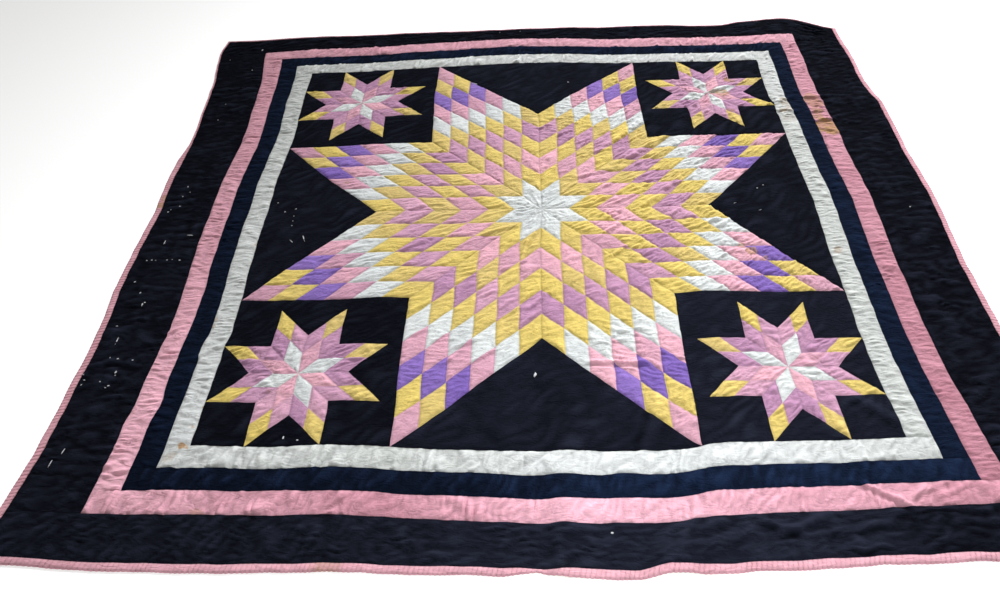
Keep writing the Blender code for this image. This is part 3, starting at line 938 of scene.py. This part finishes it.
def makeCornerBlocks():
    middle = pattern["fieldHalf"] - pattern["smallStarOffset"]
    farInner = pattern["smallStarOffset"] - (pattern["fieldHalf"] - pattern["blockInner"])
    half = pattern["smallStarOffset"]
    outline = np.array(((farInner, farInner), (half, farInner), (half, half), (farInner, half)))
    across = pattern["smallStarSide"] * math.sin(math.pi / 4)
    fabrics = ["black", "starWhite", "starPink", "starMauve", "starYellow"]
    chance = random.Random(9)
    for number in range(4):
        tones = np.array([chance.random() for _ in range(32)])
        whiteFirst = 1 if number == 3 else 0     # the lower right star is turned by one point

        def toPattern(x, y, number=number):
            return turned(((middle + x, middle + y),), number)[0]

        def relief(ownX, ownY, x, y):
            _, first, second, onStar = smallStarPatches(ownX, ownY)
            inside = insideSquare((2.0 * first) % 1.0, (2.0 * second) % 1.0)
            beyond = np.maximum(first, second) - 1.0
            distance = np.where(onStar, inside / 2.0, beyond) * across
            distance = np.minimum(np.abs(distance), edgeDistance(ownX, ownY, outline))
            puff = np.where(onStar, cornerBlocks["puff"], cornerBlocks["blackPuff"])
            rise, ditch = seamRelief(distance, puff)
            wrinkled = np.where(onStar, creased(x, y, "smallStar"), creased(x, y, "black"))
            return rise, ditch, wrinkled * (1.0 - cloth["calmed"]["block"] * ditch)

        def fabricAt(ownX, ownY, tones=tones, whiteFirst=whiteFirst,
                     ground=cornerBlocks["tones"][number]):
            wedge, first, second, onStar = smallStarPatches(ownX, ownY)
            column = np.clip((2.0 * first).astype(int), 0, 1)
            row = np.clip((2.0 * second).astype(int), 0, 1)
            inner = np.where(wedge % 2 == whiteFirst, 1, 2)
            numbers = np.where(column + row == 0, inner, np.where(column + row == 1, 3, 4))
            tone = tones[wedge * 4 + column * 2 + row] + cornerBlocks["toneStart"]
            return np.where(onStar, numbers, 0), np.where(onStar, tone, ground)

        detail = cornerBlocks["cells"], cornerBlocks["stripCells"]
        layPanel(closedPanel(cornerSheet, detail, 3), f"corner_block_{number + 1}", toPattern,
                 relief, fabrics, fabricAt)


# Border strips: length of a mesh cell and cells across, for each row of strips
strips = {
    "white": dict(fabric="whiteStrip", cell=0.0026, rows=15, puff=0.0013),
    "navy": dict(fabric="navyStrip", cell=0.0040, rows=9, puff=0.0011),
    "pink": dict(fabric="pinkStrip", cell=0.0026, rows=15, puff=0.0013),
    "black": dict(fabric="black", cell=0.0048, rows=27, puff=0.0012),
    "binding": dict(fabric="bindingPink", cell=0.0022, rows=6),
}
# How far each strip goes to its second colour at places along each side, which on the black and
# navy paints sheen: place in hundredths of a metre, share in percent
stripTones = {
    "white": {
        "left": ((-70, 10), (-40, 40), (50, 65)),
        "right": ((-70, 65), (25, 70), (60, 50)),
        "top": ((-70, 50), (70, 35)),
        "bottom": ((-70, 40), (-30, 65), (10, 0), (45, 15), (80, 45)),
    },
    "pink": {
        "left": ((-80, 0), (-50, 10), (-20, 40), (80, 50)),
        "right": ((-80, 98), (0, 82), (80, 65)),
        "top": ((-80, 48), (80, 40)),
        "bottom": ((-80, 28), (-45, 65), (-30, 80), (10, 2), (35, 35), (60, 52), (80, 74)),
    },
    "black": {
        "left": ((-86, 30), (86, 14)),
        "right": ((-86, 30), (-40, 18), (86, 12)),
        "top": ((-100, 12), (100, 15)),
        "bottom": ((-100, 42), (-40, 42), (0, 72), (50, 72), (75, 22), (100, 15)),
    },
    "navy": {
        "left": ((-80, 8), (80, 20)),
        "right": ((-80, 45), (80, 30)),
        "top": ((-80, 30), (80, 40)),
        "bottom": ((-80, 3), (-20, 12), (15, 65), (80, 70)),
    },
}
stripGrooves = {
    "pitch": 0.055,               # straight quilting lines across the black border
    "depth": 0.0008,
    "width": 0.0040,
    "outOfStep": 0.05,
}


def stripCreases(side, colour, x, y):
    if colour == "black":
        slanted = np.clip(-(x + 0.15) / 0.3, 0.0, 1.0) if side == "bottom" else 0.0
        main = creased(x, y, "border") * (1.0 - slanted) + creased(x, y, "borderLower") * slanted
        return main + creased(x, y, "borderFine")
    if side in ("left", "right"):
        return creased(x, y, "side", "sideWide")
    return creased(x, y, "lower", "lowerWide")


# Quilting lines that run straight across the black border, each a little out of step
def grooves(along):
    place = along / stripGrooves["pitch"] + stripGrooves["outOfStep"] * np.sin(along * 9.0)
    off = (place - np.round(place)) * stripGrooves["pitch"]
    return np.exp(-(off / stripGrooves["width"]) ** 2)


# One strip along a side of the quilt, from start to end, between its two edges. offAt says how far
# out a point lies, and relief and toneAt work along the strip.
def layStrip(name, side, values, start, end, inner, outer, offAt, relief, toneAt):
    def toPattern(u, v):
        along = between(start, end, u)
        off = offAt(along, v)
        return {"top": (along, off), "bottom": (along, -off),
                "left": (-off, along), "right": (off, along)}[side]

    def ownRelief(u, v, x, y):
        return relief(between(start, end, u), v, x, y)

    def fabricAt(u, v):
        return np.zeros(u.shape, dtype=int), toneAt(between(start, end, u), v)

    columns = 3 * round((end - start) / values["cell"] / 3)
    spots = np.linspace(start, end, 50)
    width = round(float(np.mean(outer(side, spots) - inner(side, spots))), 4)
    layPanel(closedPanel(flatGrid, (columns, values["rows"]), 3), name, toPattern, ownRelief,
             [values["fabric"]], fabricAt)


def makeStrip(side, colour, start, end, inner, outer):
    values = strips[colour]
    gap = pattern["seamGap"] / 2.0
    start, end = start + gap, end - gap

    def offAt(along, v):
        return between(inner(side, along) + gap, outer(side, along) - gap, v)

    def relief(along, v, x, y):
        width = outer(side, along) - inner(side, along)
        fromEnds = np.minimum(along - start, end - along)
        distance = np.minimum(np.minimum(v, 1.0 - v) * width, fromEnds)
        rise, ditch = seamRelief(distance, values["puff"])
        if colour == "black":
            rise = rise - stripGrooves["depth"] * grooves(along)
        left = 1.0 - cloth["calmed"]["strip"] * ditch
        return rise, ditch, stripCreases(side, colour, x, y) * left

    def toneAt(along, v):
        return readAt(stripTones[colour][side], along, 100)

    layStrip(f"{colour}_strip_{side}", side, values, start, end, inner, outer,
             offAt, relief, toneAt)


def evenEdge(distance):
    return lambda side, along: np.full(np.shape(along), distance)


# Side strips first, and the top and bottom ones over their ends
def makeBorderStrips():
    for row, colour in enumerate(("white", "navy", "pink")):
        inner = pattern["fieldHalf"] + row * pattern["stripWidth"]
        outer = inner + pattern["stripWidth"]
        for side in ("left", "right", "top", "bottom"):
            reach = outer if side in ("top", "bottom") else inner
            makeStrip(side, colour, -reach, reach, evenEdge(inner), evenEdge(outer))
    for side in ("left", "right"):
        makeStrip(side, "black", -blackInner, blackInner, evenEdge(blackInner), blackEdge)
    for side, level in (("top", blackInner), ("bottom", -blackInner)):
        start, end = -float(blackEdge("left", level)), float(blackEdge("right", level))
        makeStrip(side, "black", start, end, evenEdge(blackInner), blackEdge)


# Binding: a folded strip over the edge, gathered by its stitches
binding = {
    "raise": 0.0007,
    "stitchPitch": 0.0088,
    "lean": 0.004,                # how far a stitch slants along the side
    "unevenStep": 0.35,
    "unevenLength": 0.02,         # how soon the gathers and ticks change along the side
    "gather": 0.0004,
    "scallop": 0.0012,
    "edgeDrop": 0.0024,
    "plainTone": 0.10,
    # how much darker the cloth is at a stitch
    "ticks": {"left": 1.7, "right": 1.2, "top": 0.6, "bottom": 0.5},
    "rollFrom": 0.72,             # share of the width where the outer edge starts to roll down
}


def makeBinding(side, start, end):
    gap = pattern["seamGap"] / 2.0
    start, end = start + gap, end - gap
    chance = random.Random(side)
    turn = chance.uniform(0.0, math.tau)

    def stitches(along, v):
        step = (along + binding["lean"] * v) / binding["stitchPitch"]
        step = step + binding["unevenStep"] * np.sin(along * 21.0 + turn)
        return np.abs(np.sin(math.pi * step))

    def unevenAt(along, seed):
        return softNoise(along / binding["unevenLength"], np.full(np.shape(along), 0.5), seed)

    def offAt(along, v):
        near, far = blackEdge(side, along) + gap, bindingEdge(side, along)
        pinch = binding["scallop"] * (1.0 - stitches(along, v)) * v ** 3
        return near + (far - near - pinch) * v

    def relief(along, v, x, y):
        roll = binding["raise"] * np.sin(math.pi * np.clip(v, 0.0, 1.0) ** 0.8)
        rolled = np.clip((v - binding["rollFrom"]) / (1.0 - binding["rollFrom"]), 0.0, 1.0)
        drop = binding["edgeDrop"] * (1.0 - np.sqrt(1.0 - rolled ** 2))
        uneven = 0.6 + 1.2 * unevenAt(along, 92)
        gathers = binding["gather"] * uneven * (stitches(along, v) - 0.6)
        # painted shade where the binding meets the border
        ditch = np.exp(-(v / 0.10) ** 2)
        return roll - drop + gathers, 0.7 * ditch, np.zeros(v.shape)

    def toneAt(along, v):
        uneven = 0.7 + 0.9 * unevenAt(along, 91)
        tick = binding["ticks"][side] * uneven * (1.0 - stitches(along, v)) ** 2
        return np.clip(binding["plainTone"] + tick, 0.0, 1.0)

    layStrip(f"binding_{side}", side, strips["binding"], start, end, blackEdge, bindingEdge,
             offAt, relief, toneAt)


def makeBindings():
    for side, level in (("left", -blackInner), ("right", blackInner)):
        makeBinding(side, -float(blackEdge("bottom", level)), float(blackEdge("top", level)))
    for side, level in (("top", blackInner), ("bottom", -blackInner)):
        makeBinding(side, -float(bindingEdge("left", level)), float(bindingEdge("right", level)))


# Bits of batting that work through the black cloth: place on the floor, length and width in
# millimetres, heading in degrees
tufts = (
    (-959, -221, 5, 3, 40), (-934, -259, 6, 3, 80), (-916, -299, 12, 4, 85),
    (-913, -290, 5, 4, 10), (-954, -365, 5, 3, 20), (-938, -411, 20, 2.5, 88),
    (-909, -504, 6, 4, 70), (-984, -517, 10, 4, 50), (-973, -522, 7, 3, 0), (-914, -540, 6, 3, 30),
    (-927, -81, 16, 2, 85), (-954, -145, 4, 3, 0), (-941, -145, 4, 3, 0), (-931, -146, 3, 3, 0),
    (-903, -145, 4, 3, 0), (-890, -144, 3, 2, 0), (-872, -145, 4, 3, 0), (-956, 42, 6, 3, 20),
    (-950, 50, 4, 3, 70), (-929, 62, 4, 3, 0), (-933, 104, 4, 3, 40), (-931, 147, 4, 3, 0),
    (-870, -56, 20, 2.2, -3), (-948, -704, 20, 2.6, 80), (-962, -735, 20, 2.2, 84),
    (-979, 47, 4, 3, 0), (-920, 125, 4, 2, 30), (-937, -461, 5, 3, 60), (-918, -465, 4, 3, 0),
    (-882, -471, 4, 3, 0), (-909, -510, 4, 3, 45), (-935, -529, 4, 3, 0), (-918, -545, 4, 2, 0),
    (-974, -536, 6, 3, 65), (-979, -508, 5, 4, 10), (-667, 69, 5, 3, 30), (-641, 31, 4, 3, 0),
    (-614, 42, 4, 3, 60), (-614, 13, 3, 3, 0), (-613, -7, 3, 3, 0), (-612, -26, 3, 3, 0),
    (-602, -86, 30, 2.2, -50), (-574, -72, 34, 2.2, -70), (3, -529, 15, 5.5, 78),
    (614, 95, 5, 3, 20), (596, 83, 5, 3, 60), (527, 24, 12, 1.5, 30), (585, -6, 12, 1.5, 25),
    (129, 629, 5, 3, 0), (-157, 636, 40, 2.4, -27), (134, -896, 5, 4, 0), (-885, 886, 12, 3, 75),
    (-890, 757, 4, 3, 0), (-979, 826, 4, 3, 0), (-926, 553, 4, 3, 0), (-930, 471, 4, 3, 0),
    (-507, -680, 10, 2.5, 88), (-477, -686, 5, 3, 0), (959, -8, 4, 3, 0), (-85, 959, 5, 3, 0),
    (-17, 961, 5, 3, 0),
)
tuftShape = {
    "height": 0.0011,
    "sunk": 0.0003,
    "sizes": (0.70, 1.15),
    "uneven": 0.5,
}


# Low white lumps on the dark cloth, joined into one piece
def makeTufts():
    depsgraph = bpy.context.evaluated_depsgraph_get()
    grounds = [BVHTree.FromObject(piece, depsgraph) for piece in darkPieces]
    chance = random.Random(17)
    sheet = bmesh.new()
    down = Vector((0.0, 0.0, -1.0))
    for *sizes, heading in tufts:
        x, y, length, width = metres(sizes)
        hits = [tree.ray_cast(Vector((x, y, 0.2)), down)[0] for tree in grounds]
        heights = [hit.z for hit in hits if hit is not None]
        if not heights:
            continue
        size = chance.uniform(*tuftShape["sizes"])
        verts = bmesh.ops.create_icosphere(sheet, subdivisions=2, radius=0.5)["verts"]
        for vert in verts:
            vert.co *= 1.0 + tuftShape["uneven"] * (chance.random() - 0.5)
        bmesh.ops.scale(sheet, verts=verts, vec=(length * size, width * size, tuftShape["height"]))
        bmesh.ops.rotate(sheet, verts=verts, cent=(0.0, 0.0, 0.0),
                         matrix=Matrix.Rotation(math.radians(heading), 3, "Z"))
        level = max(heights) + tuftShape["height"] / 2.0 - tuftShape["sunk"]
        bmesh.ops.translate(sheet, verts=verts, vec=(x, y, level))
    mesh = meshFrom(sheet, "batting_tufts")
    mesh.shade_smooth()
    mesh.materials.append(materials["batting"])
    piece = addPiece("batting_tufts", mesh)
    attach(piece, "root")


makeStarPoints()
print("star pieced")
makeSettingTriangles()
makeCornerBlocks()
print("black ground set in")
makeBorderStrips()
makeBindings()
print("borders and binding sewn on")
makeTufts()
print("batting tufts added")


# Plain pale floor and soft daylight from the far side, a little from the right
studio = {
    "floorSize": 30.0,
    "floorLevel": -0.0003,
    "floorColour": (0.97, 0.97, 0.97),
    "floorGlow": 0.46,            # keeps the floor pale where the light falls off
    "skyColour": (1.0, 0.99, 0.955),
    "skyStrength": 0.26,
}
lamps = (
    dict(name="window", place=(3.2, 8.0, 5.0), aim=(0.55, -0.1, 0.0), size=2.2, power=54.0,
         spread=30.0, colour=(0.975, 0.98, 1.0)),
    dict(name="nearSoft", place=(0.35, -1.45, 1.45), aim=(0.25, -0.8, 0.0), size=0.6, power=3.9,
         spread=100.0, colour=(0.95, 0.98, 1.0)),
)


def makeFloor():
    sheet = bmesh.new()
    bmesh.ops.create_grid(sheet, x_segments=1, y_segments=1, size=studio["floorSize"] / 2.0)
    bmesh.ops.translate(sheet, verts=sheet.verts, vec=(0.0, 0.0, studio["floorLevel"]))
    mesh = meshFrom(sheet, "floor")
    material, tree, shader = newMaterial("paleFloor")
    place = addNode(tree, "TexCoord").outputs["Object"]
    grey = addNode(tree, "TexNoise", {"Vector": place, "Scale": 1.5, "Detail": 2.0}).outputs[0]
    low = tuple(0.98 * part for part in studio["floorColour"])
    shade = mixColours(tree, grey, (*low, 1.0), (*studio["floorColour"], 1.0))
    fillInputs(tree, shader, {"Base Color": shade, "Roughness": 0.9, "Specular IOR Level": 0.1,
                              "Emission Color": (1.0, 1.0, 1.0, 1.0),
                              "Emission Strength": studio["floorGlow"]})
    mesh.materials.append(material)
    addPiece("floor", mesh)


def addLamp(lamp):
    lampData = bpy.data.lights.new(lamp["name"], "AREA")
    lampData.size = lamp["size"]
    lampData.energy = lamp["power"]
    lampData.spread = math.radians(lamp["spread"])
    lampData.color = lamp["colour"]
    made = addPiece(lamp["name"], lampData)
    made.location = lamp["place"]
    made.rotation_euler = (Vector(lamp["aim"]) - made.location).to_track_quat("-Z", "Y").to_euler()
    made.visible_camera = False


def lightStudio():
    for lamp in lamps:
        addLamp(lamp)
    world = bpy.data.worlds.new("softSky")
    world.use_nodes = True
    fillInputs(world.node_tree, world.node_tree.nodes["Background"],
               {"Color": (*studio["skyColour"], 1.0), "Strength": studio["skyStrength"]})
    bpy.context.scene.world = world
    bpy.context.scene.view_settings.view_transform = "Standard"


makeFloor()
lightStudio()
print("floor and lights set")
